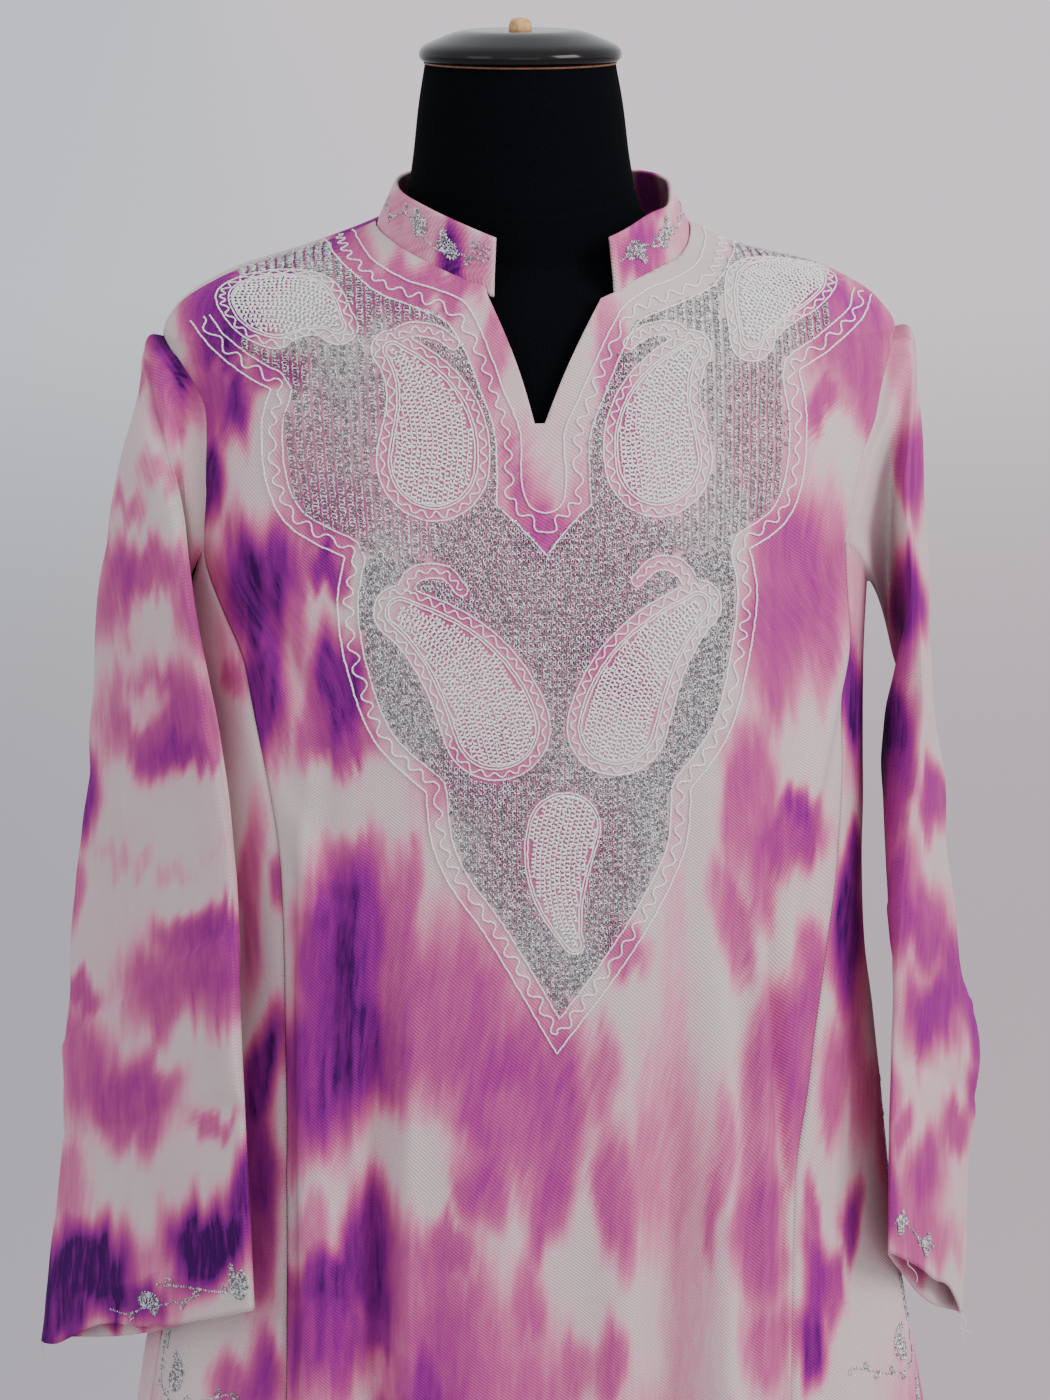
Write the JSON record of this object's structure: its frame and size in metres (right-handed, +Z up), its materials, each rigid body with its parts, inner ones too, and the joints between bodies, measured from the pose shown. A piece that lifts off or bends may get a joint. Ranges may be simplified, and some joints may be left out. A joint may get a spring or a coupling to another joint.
{
  "type": "embroidered pheran worn by a limbless dress form on its stand",
  "caption": "Long-sleeved, calf-length pheran in tie-dyed cotton with white and silver embroidery, standing on a limbless black dress form.",
  "frame": {"origin": "middle of the stand base's underside, on the floor", "axes": "+Z up, -Y towards the front of the garment, +X to the right as seen from the front"},
  "size_m": [0.5706, 0.36, 1.5049],
  "materials": {
    "cloth": "tie-dyed cotton twill, matte",
    "white_thread": "white embroidery thread, soft sheen",
    "silver_thread": "silver-grey metallic embroidery thread",
    "form_jersey": "black jersey, matte",
    "form_cap": "black lacquer, glossy",
    "form_knob": "pale wood, satin",
    "stand_metal": "black, satin"
  },
  "bodies": {
    "root": {"front_panel": "cloth", "back_panel": "cloth", "gore_left_front": "cloth", "gore_left_back": "cloth", "gore_right_front": "cloth", "gore_right_back": "cloth", "sleeve_left": "cloth", "sleeve_right": "cloth", "collar": "cloth", "form_torso": "form_jersey", "form_neck_cap": "form_cap", "form_finial": "form_knob", "stand_pole": "stand_metal", "stand_base": "stand_metal"}
  },
  "joints": []
}
